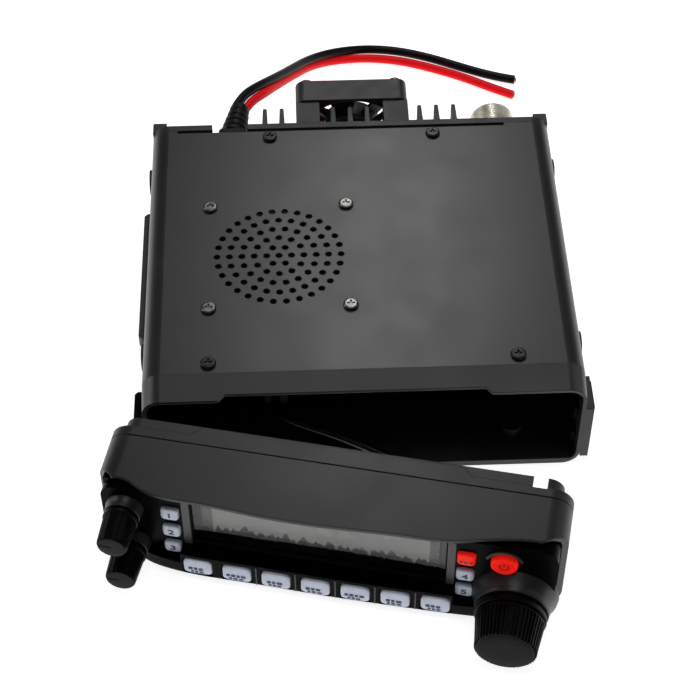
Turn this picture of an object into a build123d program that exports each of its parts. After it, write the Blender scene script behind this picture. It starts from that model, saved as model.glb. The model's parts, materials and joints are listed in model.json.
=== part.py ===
from build123d import *
import os
from math import cos, pi, radians, sin, tan

# A two-piece mobile transceiver: the main unit stands on its flat underside, and its detached control head
# stands in front of it, turned a little, on its control cable. Millimetres, +Z up, the front faces -Y.
# The origin is the centre of the main unit's underside.

# Main unit: outline and sections along Y
WIDTH, HEIGHT, CORNER_R = 140.0, 40.3, 6.0
FRONT_Y, CREASE_Y, SEAM_Y, PLATE_Y = -60.0, -51.2, 60.5, 63.1
NOSE_DROP = 3.07
SKIN = 1.0
GAP = 0.06
BASE_Z, COVER_Z = 7.0, 33.0
INNER_X, RECESS_WALL = 66.4, 1.3
BULKHEAD_Y, REAR_WALL_Y = -32.0, 57.0
DECK_LOW, DECK_HIGH = 14.0, 17.0
NOTCH_X, NOTCH_SLANT, NOTCH_DEPTH = (-43.8, 37.8), 3.2, 1.9
SLIT_X, SLIT_WIDTH = (-61.0, 54.0), 1.4

# Screws of the covers and of the speaker
PAN_R, PAN_H, SHANK_R, SHANK_L = 2.5, 1.2, 1.4, 6.0
THREAD_R, CLEAR_R = 1.45, 1.7
REAR_SCREW_XY, FRONT_SCREW_XY = (28.6, 55.7), (48.8, -47.45)
SPEAKER_XY, SPEAKER_PITCH = (-26.05, -1.3), 22.95
GRILLE_RINGS, GRILLE_PITCH, GRILLE_HOLE_R = 5, 4.1, 1.1
LINTEL_Y, LINTEL_Z = (-51.0, -43.5), 34.6
RECESS_FLOOR_Z = 2.4
SOCKET_XZ = (-28.4, 8.0)

# Heat sink, fan and rear fittings
FIN_X = (-30.3, -24.3, -6.05, 0.0, 6.05, 24.8, 30.8, 36.9)
FIN_TIP_Y, FIN_ROOT, FIN_TIP, FIN_Z = 71.8, 2.1, 1.4, (1.0, 39.4)
BLOCKS_X, FAN_X, FAN_Y = ((-19.2, -10.8), (11.9, 20.8)), 0.8, 75.0
POST_X, POST_Y, POST_Z = (65.2, 70.0), 68.6, (1.0, 37.4)
FAN_SIZE, FAN_DEPTH, FAN_PITCH, DUCT_R = 40.0, 10.4, 16.0, 19.0
FAN_Z = HEIGHT / 2
HUB_R, BLADE_R, BLADES = 11.0, 18.4, 7
ANTENNA_XZ, ANTENNA_R, ANTENNA_TIP_Y = (52.3, 24.0), 7.94, 81.2
GROMMET_NOTCH_X, GROMMET_Z = (-48.9, -36.6), 30.0
GROMMET_BASE, GROMMET_TIP = Vector(-42.6, 64.6, GROMMET_Z), Vector(-39.6, 82.6, GROMMET_Z)
GROMMET_R = (5.1, 3.6)
LEAD_R = 1.7
DATA_XZ, SOUND_XZ = (-57.0, 13.0), (-57.0, 30.0)
SOUND_BORE_R = 1.8

# Side fittings
BRACKET_Y, BRACKET_Z, BRACKET_R, BRACKET_BOSS_R = (-33.0, 48.0), 27.5, 1.65, 4.5
BOSS_OUT, RAIL_OUT, PLATE_OUT = 71.2, 72.4, 73.0
SIDE_PLATE_Y, SIDE_PLATE_Z = (-59.8, -47.0), (4.0, 27.0)
MIC_Z = 15.2
LATCH_Z, LATCH_PLATE_Y, LATCH_PLATE_Z = (9.4, 21.6), (-59.1, -47.3), (4.3, 26.7)
TRAY_OUT, TRAY_Y, TRAY_Z, TRAY_FLOOR, TRAY_WALL = 72.6, (-60.0, -46.4), (3.4, 27.6), 70.2, 0.5

# Control head, in its own frame: x right, y back from the seam between its shells, z up
HEAD_X, HEAD_Y, HEAD_YAW = -9.4, -86.9, -12.78
HEAD_W, HEAD_H, HEAD_R = 143.3, 38.0, 7.0
SHELL, SHELL_TOP = 2.0, 1.3
SEAM_GAP = 0.3
REAR_EDGE_Y, TAB_Y, TONGUE_Y = 3.3, 6.2, 8.2
TONGUE_X, TONGUE_Z, TONGUE_T = 68.3, (2.8, 36.0), 1.6
FACE_Y, FACE_T, FACE_RIM_Y = -19.0, 1.8, -10.0
LEDGE_Z, LEDGE_Y, LEDGE_SAG = 12.2, -23.8, 0.0005
LEDGE_X, LEDGE_HOLLOW_X, SIDE_LEDGE_Z = (-45.1, 39.45), (-44.2, 38.8), 7.4
LENS_X, LENS_Z = (-41.2, 36.2), (12.4, 33.4)
SIDE_KEY = (5.3, 5.2)
LEFT_KEY_X, RIGHT_KEY_X = -48.1, 42.4
LEFT_KEY_Z, RIGHT_KEY_Z = (27.5, 18.9, 10.7), (27.8, 19.6, 11.5)
KEY_FRONT_Y = -20.2
FUNCTION_KEYS, FUNCTION_PITCH, FUNCTION_MID_X = 7, 12.35, -2.7
FUNCTION_KEY, FUNCTION_KEY_Z = (9.0, 8.4), 6.4
KEY_TRAVEL, KEY_GAP = 0.5, 0.3
POWER_X, POWER_Z, POWER_R = 53.7, 27.8, 4.1
DIAL_X, DIAL_Z, DIAL_R = 57.5, 11.2, (10.8, 9.4)
DIAL_Y = (-25.6, -38.6)
VOLUME_XZ, SQUELCH_XZ = (-62.2, 27.0), (-61.2, 9.8)
KNOB_R, KNOB_Y, BOSS_R = (5.2, 4.8), (-23.4, -34.6), (5.7, 5.4)
SHAFT_R, SHAFT_FIT, POINTER_TURN = 1.5, 0.05, 200.0
JACK_X, JACK_Z = 25.0, 9.0
HEAD_SCREW_X, HEAD_SCREW_Z = 62.0, (7.8, 30.2)

# Routes of the free cords, from where they leave the unit
BLACK_ROUTE = [(-40.85, 82.8, 31.2), (-38.7, 88.4, 31.0), (-33.8, 95.0, 29.5), (-28.0, 104.0, 25.2),
               (-21.0, 117.2, 18.4), (-14.0, 130.9, 11.6), (-3.7, 141.8, 5.8), (9.7, 147.4, 2.3),
               (22.5, 146.2, 1.7), (35.0, 141.4, 1.7), (47.4, 134.9, 1.7), (59.1, 129.4, 1.7),
               (66.8, 127.2, 1.7)]
RED_ROUTE = [(-38.35, 82.4, 28.8), (-35.8, 88.0, 28.6), (-31.0, 94.6, 26.6), (-26.2, 105.2, 21.4),
             (-19.2, 119.4, 14.4), (-12.2, 132.7, 7.3), (-2.4, 140.9, 2.5), (9.2, 142.6, 1.7),
             (22.2, 140.5, 1.7), (34.6, 135.6, 1.7), (47.0, 129.4, 1.7), (58.7, 121.9, 1.7),
             (65.4, 118.3, 1.7)]
CABLE_R = 1.4
CABLE_ROUTE = [(-28.4, -35.0, 8.0), (-28.3, -40.4, 8.2), (-25.4, -45.2, 8.8), (-19.8, -48.4, 9.3),
               (-8.5, -53.5, 9.5), (3.5, -60.0, 9.3), (10.5, -64.6, 9.0), (15.4, -70.6, 8.9),
               (18.1, -78.7, 9.0), (16.79, -84.48, 9.0)]


def block(x, y, z):
    """A block between the two values given for each axis."""
    middle = [(pair[0] + pair[1]) / 2 for pair in (x, y, z)]
    size = [abs(pair[1] - pair[0]) for pair in (x, y, z)]
    return Pos(*middle) * Box(*size)


def rod_y(x, z, y0, y1, radius):
    """A round rod along Y."""
    return Pos(x, (y0 + y1) / 2, z) * Rot(90, 0, 0) * Cylinder(radius, abs(y1 - y0))


def rod_x(y, z, x0, x1, radius):
    """A round rod along X."""
    return Pos((x0 + x1) / 2, y, z) * Rot(0, 90, 0) * Cylinder(radius, abs(x1 - x0))


def rod_z(x, y, z0, z1, radius):
    """A round rod along Z."""
    return Pos(x, y, (z0 + z1) / 2) * Cylinder(radius, abs(z1 - z0))


def turned_y(x, z, profile):
    """A turned piece about a line along Y: profile is a list of (radius, y)."""
    face = make_face(Polyline(*[(radius, y, 0) for radius, y in profile], close=True))
    return Pos(x, 0, z) * revolve(face, Axis.Y)


def turned_z(x, y, profile):
    """A turned piece about a line along Z: profile is a list of (radius, z)."""
    face = make_face(Polyline(*[(radius, 0, z) for radius, z in profile], close=True))
    return Pos(x, y, 0) * revolve(face, Axis.Z)


def front_plane(y, z):
    """A sketch plane that faces the front, its origin at the given depth and height."""
    return Plane(origin=(0, y, z), x_dir=(1, 0, 0), z_dir=(0, -1, 0))


def section(y, inset, drop):
    """The main unit's rounded outline at one depth, drawn in by inset, its top lowered by drop."""
    high = HEIGHT - drop
    size = (WIDTH - 2 * inset, high - 2 * inset)
    return front_plane(y, high / 2) * RectangleRounded(*size, CORNER_R - inset)


def envelope(inset):
    """The main unit's body between its front edge and the rear seam, with the sloping nose."""
    body = extrude(section(SEAM_Y, inset, 0), SEAM_Y - CREASE_Y)
    nose = loft([section(CREASE_Y, inset, 0), section(FRONT_Y, inset, NOSE_DROP)], ruled=True)
    return body + nose


def mirror_x(points):
    """Each (x, y) point, and its twin across X."""
    return [(sign * x, y) for x, y in points for sign in (-1, 1)]


def cover_screw_places():
    return mirror_x([REAR_SCREW_XY, FRONT_SCREW_XY])


def speaker_screw_places():
    x, y = SPEAKER_XY
    return [(x + i * SPEAKER_PITCH, y + j * SPEAKER_PITCH) for i in (-1, 1) for j in (-1, 1)]


def grille_places():
    """A centre hole and rings of six more holes each."""
    places = [SPEAKER_XY]
    for ring in range(1, GRILLE_RINGS + 1):
        for step in range(6 * ring):
            turn = 2 * pi * step / (6 * ring)
            places.append((SPEAKER_XY[0] + ring * GRILLE_PITCH * cos(turn),
                           SPEAKER_XY[1] + ring * GRILLE_PITCH * sin(turn)))
    return places


def make_top_cover():
    """A folded sheet lid: top and rounded edges, with the speaker grille and the notch of its front edge."""
    skin = envelope(0) - envelope(SKIN)
    cover = skin & block((-WIDTH, WIDTH), (FRONT_Y, SEAM_Y), (COVER_Z, HEIGHT + 1))
    notch = [(NOTCH_X[0], FRONT_Y + NOTCH_DEPTH), (NOTCH_X[1], FRONT_Y + NOTCH_DEPTH),
             (NOTCH_X[1] + NOTCH_SLANT, FRONT_Y - 1), (NOTCH_X[0] - NOTCH_SLANT, FRONT_Y - 1)]
    cover -= Pos(0, 0, COVER_Z) * extrude(make_face(Polyline(*notch, close=True)), HEIGHT)
    cover -= block(SLIT_X, (SEAM_Y - SLIT_WIDTH, SEAM_Y + 1), (COVER_Z, HEIGHT + 1))
    depth = (HEIGHT - 3 * SKIN, HEIGHT + 1)
    cover -= [rod_z(x, y, *depth, GRILLE_HOLE_R) for x, y in grille_places()]
    screws = cover_screw_places() + speaker_screw_places()
    cover -= [rod_z(x, y, *depth, CLEAR_R) for x, y in screws]
    return cover


def make_bottom_cover():
    """The lower sheet lid, with countersunk holes for flush screws."""
    skin = envelope(0) - envelope(SKIN)
    cover = skin & block((-WIDTH, WIDTH), (FRONT_Y, SEAM_Y), (-1, BASE_Z))
    for x, y in cover_screw_places():
        cover -= turned_z(x, y, [(0, -1), (3.6, -1), (1.7, SKIN), (1.7, SKIN + 1), (0, SKIN + 1)])
    return cover


def pan_screw(x, y, z):
    """A cross-recessed pan-head screw, its head's underside at the given point."""
    head = Pos(x, y, z + PAN_H / 2) * Cylinder(PAN_R, PAN_H)
    head = fillet(head.edges().group_by(Axis.Z)[-1], 0.7)
    head -= Pos(x, y, z + PAN_H) * (Box(2.6, 0.6, 1.2) + Box(0.6, 2.6, 1.2))
    return head + rod_z(x, y, z - SHANK_L, z, SHANK_R)


def flush_screw(x, y):
    """A countersunk screw under the bottom cover, just inside its face."""
    screw = turned_z(x, y, [(0, 0.15), (2.3, 0.15), (SHANK_R, 1.05), (SHANK_R, 5.0), (0, 5.0)])
    return screw - Pos(x, y, 0.15) * (Box(2.2, 0.5, 0.8) + Box(0.5, 2.2, 0.8))


def fin_comb():
    """The end plate with its fins, fan blocks and corner posts, as one plan outline raised along Z."""
    plan = Pos(0, (SEAM_Y + PLATE_Y) / 2) * Rectangle(WIDTH - 2 * CORNER_R, PLATE_Y - SEAM_Y)
    for x in FIN_X:
        root, tip = FIN_ROOT / 2, FIN_TIP / 2
        fin = make_face(Polyline((x - root, PLATE_Y - 1), (x + root, PLATE_Y - 1), (x + tip, FIN_TIP_Y),
                                 (x - tip, FIN_TIP_Y), close=True))
        plan += fillet(fin.vertices().group_by(Axis.Y)[-1], 0.55)
    for x0, x1 in BLOCKS_X:
        plan += Pos((x0 + x1) / 2, (PLATE_Y + FAN_Y) / 2 - 0.5) * Rectangle(x1 - x0, FAN_Y - PLATE_Y + 1)
    roots = [v for v in plan.vertices() if abs(v.Y - PLATE_Y) < 0.01 and abs(v.X) < INNER_X - 6]
    return Pos(0, 0, FIN_Z[0]) * extrude(fillet(roots, 0.9), FIN_Z[1] - FIN_Z[0])


def corner_post(sign):
    """The rounded rib behind one rear corner."""
    post = block([sign * x for x in POST_X], (PLATE_Y - 0.5, POST_Y), POST_Z)
    return fillet(post.edges().group_by(Axis.Y)[-1], 1.4)


def chassis_openings():
    """What is cut out of the casting's walls for its fittings."""
    x, z = ANTENNA_XZ
    cuts = [rod_y(x, z, REAR_WALL_Y - 5, PLATE_Y + 1, 6.3),
            rod_y(*DATA_XZ, REAR_WALL_Y - 5, PLATE_Y + 1, 5.1),
            rod_y(*SOUND_XZ, REAR_WALL_Y - 5, PLATE_Y + 1, 3.6),
            rod_y(-9.6, 34.0, REAR_WALL_Y - 5, PLATE_Y + 1, 1.5),
            block(GROMMET_NOTCH_X, (REAR_WALL_Y - 5, PLATE_Y + 1), (21.6, HEIGHT + 1)),
            block((-WIDTH, -INNER_X + 1), (-58.6, -48.4), (MIC_Z - 7.1, MIC_Z + 7.1))]
    cuts += [block((INNER_X - 1, WIDTH), (-55.6, -51.4), (z - 2.2, z + 2.2)) for z in LATCH_Z]
    for sign in (-1, 1):
        cuts += [rod_x(y, BRACKET_Z, sign * (INNER_X + 0.8), sign * WIDTH, BRACKET_R) for y in BRACKET_Y]
    return cuts


def latch_tray():
    """The shallow tray that the release latch's plate moves in, on the right wall."""
    y, z = TRAY_Y, TRAY_Z
    room_y, room_z = (y[0] + TRAY_WALL, y[1] - TRAY_WALL), (z[0] + TRAY_WALL, z[1] - TRAY_WALL)
    tray = block((69.0, TRAY_OUT), y, z) - block((TRAY_FLOOR, WIDTH), room_y, room_z)
    return tray - block((0, WIDTH / 2 + GAP), y, (-1, BASE_Z + GAP))


def make_chassis_frame():
    """The die-cast frame: side walls, deck, cross rails, rear wall, heat-sink fins and bracket bosses."""
    sides = (BASE_Z + GAP, COVER_Z - GAP)
    frame = envelope(SKIN + GAP) + (envelope(0) & block((-WIDTH, WIDTH), (FRONT_Y, SEAM_Y), sides))
    inner = (-INNER_X, INNER_X)
    wide, recess = (-WIDTH, WIDTH), (FRONT_Y - 1, BULKHEAD_Y - 2.2)
    frame -= envelope(RECESS_WALL) & block(wide, recess, (-1, HEIGHT + 1))
    frame -= block(wide, recess, (COVER_Z, HEIGHT + 1))
    frame -= block(inner, (recess[1] - 1, BULKHEAD_Y + 2), (-1, HEIGHT + 1))
    frame -= block(inner, (BULKHEAD_Y, REAR_WALL_Y), (DECK_HIGH, HEIGHT + 1))
    frame -= block(inner, (BULKHEAD_Y, REAR_WALL_Y), (-1, DECK_LOW))
    room = envelope(SKIN + GAP)
    frame += room & block(wide, LINTEL_Y, (LINTEL_Z, HEIGHT))
    frame += room & block(wide, (FRONT_Y, BULKHEAD_Y + 2), (0, RECESS_FLOOR_Z))
    for sign in (-1, 1):
        frame += room & block((sign * 66.6, sign * WIDTH), LINTEL_Y, (COVER_Z - 3, HEIGHT))
    x, y = FRONT_SCREW_XY
    frame += [rod_z(sign * x, y, SKIN + GAP, 6.4, 3.6) for sign in (-1, 1)]
    x, y = REAR_SCREW_XY
    for sign in (-1, 1):
        pillar = (sign * x - 4, sign * x + 4), (51.5, REAR_WALL_Y + 1)
        frame += block(*pillar, (DECK_HIGH, HEIGHT - SKIN - GAP))
        frame += block(*pillar, (SKIN + GAP, DECK_LOW))
    frame += extrude(section(PLATE_Y, 0, 0), PLATE_Y - SEAM_Y)
    frame += fin_comb()
    frame += [corner_post(sign) for sign in (-1, 1)]
    for sign in (-1, 1):
        reach = (sign * (INNER_X + 1), sign * BOSS_OUT)
        frame += [rod_x(y, BRACKET_Z, *reach, BRACKET_BOSS_R) for y in BRACKET_Y]
    rail = block((-RAIL_OUT, -INNER_X - 1), (-27.0, 30.0), (25.2, 30.0))
    frame += chamfer(rail.edges().filter_by(Axis.Z).group_by(Axis.X)[0], 1.2)
    frame += latch_tray()
    frame -= chassis_openings()
    frame -= [rod_z(x, y, HEIGHT - 10, HEIGHT, THREAD_R) for x, y in cover_screw_places()]
    frame -= [rod_z(x, y, 0, 5.6, THREAD_R) for x, y in cover_screw_places()]
    return frame


def make_speaker_frame():
    """The loudspeaker's pressed basket with its square flange and its magnet."""
    x, y = SPEAKER_XY
    top = HEIGHT - SKIN - GAP
    flange = Pos(x, y, top - 0.6) * extrude(RectangleRounded(51.5, 51.5, 6), 0.6)
    basket = turned_z(x, y, [(0, 21.4), (13.5, 21.4), (13.5, 27.0), (15.5, 28.0), (24.6, top - 0.6),
                             (24.6, top), (22.6, top), (14.0, 29.4), (9.0, 29.4), (9.0, 28.0), (0, 28.0)])
    plate = flange - rod_z(x, y, 20, HEIGHT, 23.0)
    return plate + basket - [rod_z(a, b, 30, HEIGHT, THREAD_R) for a, b in speaker_screw_places()]


def make_speaker_cone():
    """The paper cone with its dust cap."""
    x, y = SPEAKER_XY
    return turned_z(x, y, [(0, 33.2), (5.0, 31.6), (8.0, 30.2), (18.8, 35.6), (20.6, 37.4), (20.6, 38.0),
                           (18.6, 36.6), (8.4, 31.6), (5.2, 33.0), (0, 34.4)])


def make_main_board():
    """The main circuit board on its deck pillars."""
    board = block((-64.0, 64.0), (-30.5, 50.0), (18.6, 20.2))
    x, y = SPEAKER_XY
    board -= rod_z(x, y, 18, 21, 14.2)
    feet = [rod_z(sx * 60, sy, DECK_HIGH, 18.6, 2.5) for sx in (-1, 1) for sy in (-27.0, 8.0, 46.0)]
    chips = [block((-12, 2), (34, 46), (20.2, 21.8)), block((36, 46), (-28, -20), (20.2, 21.4)),
             block((-63, -57), (0, 8), (20.2, 22.6))]
    return board + feet + chips


def make_power_module():
    """The transmitter's power amplifier, a flat finned package bolted near the rear wall."""
    body = block((8.0, 44.0), (34.0, 48.0), (20.3, 26.5))
    return body - [rod_z(x, 41.0, 25.5, 27, 1.6) for x in (11.5, 40.5)]


def make_shield_can():
    """The tuned circuits' pressed shield."""
    can = block((14.0, 58.0), (-16.0, 26.0), (20.3, 30.0))
    can = fillet(can.edges().filter_by(Axis.Z), 1.5)
    can -= block((14.6, 57.4), (-15.4, 25.4), (20.2, 29.4))
    return can - [rod_z(24 + 12 * i, 5, 29, 31, 2.2) for i in range(3)]


def make_capacitors():
    """The supply's three upright electrolytic capacitors."""
    return Compound([rod_z(x, 42.0, 20.3, 33.0, 4.6) for x in (-54.0, -42.0, -30.0)])


def make_front_bulkhead():
    """The moulded wall at the back of the docking recess, with the control socket's opening."""
    front = BULKHEAD_Y - 2.0
    wall = block((-INNER_X + 0.2, INNER_X - 0.2), (front, BULKHEAD_Y - 0.2), (0, HEIGHT))
    wall &= envelope(SKIN + 0.3)
    wall -= block((-INNER_X, INNER_X), (front - 1, BULKHEAD_Y), (0, RECESS_FLOOR_Z + 0.05))
    x, z = SOCKET_XZ
    wall -= block((x - 6.1, x + 6.1), (front - 1, BULKHEAD_Y), (RECESS_FLOOR_Z, z + 5.1))
    ribs = [block((x - 0.6, x + 0.6), (front - 2.4, front), (14.0, 33.0)) for x in (-52.0, 0.0, 26.0, 52.0)]
    return wall + ribs


def make_control_jack():
    """The modular jack in the bulkhead's opening, under the deck."""
    x, z = SOCKET_XZ
    y = BULKHEAD_Y - 1.6
    jack = block((x - 6.0, x + 6.0), (y, y + 12.0), (z - 4.9, z + 4.9))
    return jack - block((x - 4.0, x + 4.0), (y - 1, y + 11.0), (z - 4.2, z + 4.6))


def modular_plug():
    """A modular plug on a cable end, at the origin, facing -y into its jack, its cable leaving at +y."""
    body = block((-3.8, 3.8), (-9.0, 3.0), (-4.0, 4.0))
    body = chamfer(body.edges().filter_by(Axis.Y), 0.6)
    latch = block((-1.6, 1.6), (-7.0, 3.0), (4.0, 4.4))
    return body + latch


def make_cable_plug_unit():
    x, z = SOCKET_XZ
    return Pos(x, CABLE_ROUTE[0][1] + 3.0, z) * Rot(0, 0, 180) * modular_plug()


def make_microphone_jack():
    """The side bezel of the microphone socket and its modular jack in the left wall."""
    bezel = block((-PLATE_OUT, -70.0 - GAP), SIDE_PLATE_Y, SIDE_PLATE_Z)
    bezel = chamfer(bezel.edges().filter_by(Axis.Z).group_by(Axis.X)[0], 1.0)
    body = block((-71.0, -58.0), (-58.4, -48.6), (MIC_Z - 6.9, MIC_Z + 6.9))
    return bezel + body - block((-WIDTH, -59.4), (-57.4, -49.6), (MIC_Z - 5.1, MIC_Z + 5.1))


def make_release_latch():
    """The push plate that frees the head: an outer plate with two pawls through the right wall."""
    plate = block((PLATE_OUT - 1.0, PLATE_OUT), LATCH_PLATE_Y, LATCH_PLATE_Z)
    plate = chamfer(plate.edges().filter_by(Axis.Z).group_by(Axis.X)[-1], 0.6)
    for z in LATCH_Z:
        plate += block((67.0, PLATE_OUT - 0.6), (-55.0, -52.0), (z - 1.7, z + 1.7))
        plate += block((67.0, 68.2), (-56.4, -50.6), (z - 2.1, z + 2.1))
    return plate


def fan_screw_places():
    return [(FAN_X + i * FAN_PITCH, FAN_Z + j * FAN_PITCH) for i in (-1, 1) for j in (-1, 1)]


def make_fan_frame():
    """The square fan housing with its round duct, motor mount and struts."""
    frame = Pos(FAN_X, FAN_Y + FAN_DEPTH / 2, FAN_Z) * Box(FAN_SIZE, FAN_DEPTH, FAN_SIZE)
    frame = fillet(frame.edges().filter_by(Axis.Y), 3.0)
    frame -= rod_y(FAN_X, FAN_Z, FAN_Y - 1, FAN_Y + FAN_DEPTH + 1, DUCT_R)
    mount = rod_y(FAN_X, FAN_Z, FAN_Y, FAN_Y + 1.6, HUB_R)
    mount -= rod_y(FAN_X, FAN_Z, FAN_Y - 1, FAN_Y + 3, 1.55)
    arms = [Pos(FAN_X, FAN_Y + 0.8, FAN_Z) * Rot(0, turn, 0) * Pos(DUCT_R - 4, 0, 0) * Box(9.6, 1.6, 1.8)
            for turn in (45, 135, 225, 315)]
    frame += [mount] + arms
    return frame - [rod_y(x, z, FAN_Y - 1, FAN_Y + FAN_DEPTH + 1, 1.75) for x, z in fan_screw_places()]


def fan_blade(turn):
    """One twisted fan blade."""
    blade = Pos(FAN_X, FAN_Y + 5.8, FAN_Z) * Rot(0, turn, 0) * Pos((HUB_R + BLADE_R) / 2 - 0.4, 0, 0)
    return blade * Rot(34, 0, 0) * Box(BLADE_R - HUB_R + 0.6, 0.9, 9.0)


def make_fan_rotor():
    """The hub with its blades and its shaft in the motor mount."""
    hub = rod_y(FAN_X, FAN_Z, FAN_Y + 2.0, FAN_Y + FAN_DEPTH - 0.6, HUB_R)
    hub = fillet(hub.edges().group_by(Axis.Y)[-1], 1.0)
    rotor = hub + [fan_blade(360 * i / BLADES) for i in range(BLADES)]
    rotor &= rod_y(FAN_X, FAN_Z, FAN_Y + 1.95, FAN_Y + FAN_DEPTH - 0.5, BLADE_R)
    return rotor + rod_y(FAN_X, FAN_Z, FAN_Y + 0.2, FAN_Y + 2.5, 1.5)


def make_fan_screws():
    """Four long screws through the fan into the blocks."""
    screws = []
    rear = FAN_Y + FAN_DEPTH
    for x, z in fan_screw_places():
        head = fillet(rod_y(x, z, rear, rear + 2.8, 2.8).edges().group_by(Axis.Y)[-1], 1.0)
        head -= Pos(x, rear + 2.8, z) * (Box(2.8, 1.6, 0.6) + Box(0.6, 1.6, 2.8))
        screws.append(head + rod_y(x, z, FAN_Y, rear, 1.5))
    return Compound(screws)


def make_fan_leads():
    """The fan's two short wires, from its motor mount into the casting."""
    leads = []
    for x in (-10.2, -9.0):
        path = FilletPolyline((x, FAN_Y - 1.8, 31.2), (x, 69.6, 33.6), (x, 64.0, 34.0), (x, 60.0, 34.0),
                              radius=[2.0, 6.0])
        leads.append(sweep(Plane(origin=path @ 0, z_dir=path % 0) * Circle(0.5), path))
    return Compound(leads)


def make_antenna_socket():
    """The threaded antenna socket's shell with its flange."""
    x, z = ANTENNA_XZ
    tip = ANTENNA_TIP_Y
    return turned_y(x, z, [(4.4, REAR_WALL_Y + 1), (6.2, REAR_WALL_Y + 1), (6.2, PLATE_Y + 0.05),
                           (9.2, PLATE_Y + 0.05), (9.2, 64.9), (ANTENNA_R, 64.9), (ANTENNA_R, tip - 0.5),
                           (ANTENNA_R - 0.5, tip), (6.3, tip), (6.3, 66.0), (4.4, 66.0)])


def make_antenna_insulator():
    """The white insulator that holds the socket's centre contact."""
    x, z = ANTENNA_XZ
    return turned_y(x, z, [(2.0, REAR_WALL_Y), (4.35, REAR_WALL_Y), (4.35, 66.1), (6.2, 66.1), (6.2, 75.5),
                           (4.2, 76.5), (2.0, 76.5)])


def make_antenna_contact():
    """The centre contact, a slotted tube."""
    x, z = ANTENNA_XZ
    return turned_y(x, z, [(0, REAR_WALL_Y - 3), (1.95, REAR_WALL_Y - 3), (1.95, 79.0), (1.6, 79.4),
                           (1.2, 79.4), (1.2, 71.2), (0, 71.2)])


def make_data_jack():
    """The six-pin data socket."""
    x, z = DATA_XZ
    jack = turned_y(x, z, [(0, REAR_WALL_Y - 1), (5.0, REAR_WALL_Y - 1), (5.0, PLATE_Y + 0.8),
                           (4.4, PLATE_Y + 0.8), (4.4, 58.0), (0, 58.0)])
    pins = [rod_y(x + 2.6 * cos(pi * k / 3), z + 2.6 * sin(pi * k / 3), 57.5, 62.0, 0.4) for k in range(6)]
    return jack + pins


def make_sound_jack():
    """The external loudspeaker socket."""
    x, z = SOUND_XZ
    return turned_y(x, z, [(SOUND_BORE_R, REAR_WALL_Y - 4), (3.5, REAR_WALL_Y - 4), (3.5, PLATE_Y + 1.2),
                           (SOUND_BORE_R, PLATE_Y + 1.2)])


def make_cable_grommet():
    """The tapered, ribbed strain relief of the power leads, with its flange in the casting's notch."""
    axis = GROMMET_TIP - GROMMET_BASE
    along = Plane(origin=GROMMET_BASE, x_dir=(0, 0, 1), z_dir=axis)
    length = axis.length
    grommet = along * (Pos(0, 0, length / 2) * Cone(GROMMET_R[0] - 0.6, GROMMET_R[1] - 0.4, length))
    ribs = 6
    for i in range(ribs):
        radius = GROMMET_R[0] + (GROMMET_R[1] - GROMMET_R[0]) * i / (ribs - 1)
        grommet += along * (Pos(0, 0, 1.2 + i * (length - 3.2) / (ribs - 1)) * Cylinder(radius, 2.0))
    x0, x1 = GROMMET_NOTCH_X
    flange = block((x0 + 2.0, x1 - 0.3), (60.6, 65.2), (22.0, 36.6))
    return grommet + fillet(flange.edges().filter_by(Axis.Y), 1.5)


def tangent_radii(points):
    """The largest arc each corner of a route allows: 0.45 of its shorter run, over tan(half the turn)."""
    radii = []
    for a, b, c in zip(points, points[1:], points[2:]):
        before, after = Vector(b) - Vector(a), Vector(c) - Vector(b)
        half_turn = radians(before.get_angle(after)) / 2
        radii.append(0.45 * min(before.length, after.length) / tan(half_turn))
    return radii


def make_cord(name, points, radius):
    """A cord's plain tube: straight runs joined by tangent arcs. Prints its radii, length and volume."""
    radii = tangent_radii(points)
    path = FilletPolyline(*points, radius=radii)
    tube = sweep(Plane(origin=path @ 0, z_dir=path % 0) * Circle(radius), path)
    share = tube.volume / (pi * radius**2 * path.length)
    print(name, "length", round(path.length, 1), "radii", [round(r, 1) for r in radii])
    print(name, "volume over section times length", round(share, 4))
    return tube


def ledge_y(x):
    """Depth of the key ledge's bowed front face."""
    return LEDGE_Y + LEDGE_SAG * (x + 2.0) ** 2


def head_section(y, inset):
    size = (HEAD_W - 2 * inset, HEAD_H - 2 * inset)
    return front_plane(y, HEAD_H / 2) * RectangleRounded(*size, HEAD_R - inset)


def brow_plan():
    """The head's plan outline in front of the seam: the brow bows out between the knobs and the dial."""
    half = HEAD_W / 2
    brow = Spline((-66.0, -16.4), (-61.0, -17.0), (-56.0, -19.6), (-50.0, -21.2), (-40.0, -21.5),
                  (-20.0, -22.6), (0.0, -22.7), (25.0, -21.6), (39.0, -20.8), (46.0, -19.0),
                  (53.0, -17.4), (64.0, -16.4))
    rest = Polyline((-66.0, -16.4), (-half, -11.5), (-half, 1.0), (half, 1.0), (half, -11.5), (64.0, -16.4))
    return make_face(brow + rest)


def key_places():
    """Name, centre x, centre z, size and front depth of each key."""
    places = [(f"memory_key_{i + 1}", LEFT_KEY_X, z, SIDE_KEY, KEY_FRONT_Y) for i, z in enumerate(LEFT_KEY_Z)]
    names = ("home_key", "memory_key_4", "memory_key_5")
    places += [(n, RIGHT_KEY_X, z, SIDE_KEY, KEY_FRONT_Y) for n, z in zip(names, RIGHT_KEY_Z)]
    for i in range(FUNCTION_KEYS):
        x = FUNCTION_MID_X + (i - (FUNCTION_KEYS - 1) / 2) * FUNCTION_PITCH
        places.append((f"function_key_{i + 1}", x, FUNCTION_KEY_Z, FUNCTION_KEY, ledge_y(x) - 0.5))
    return places


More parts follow.
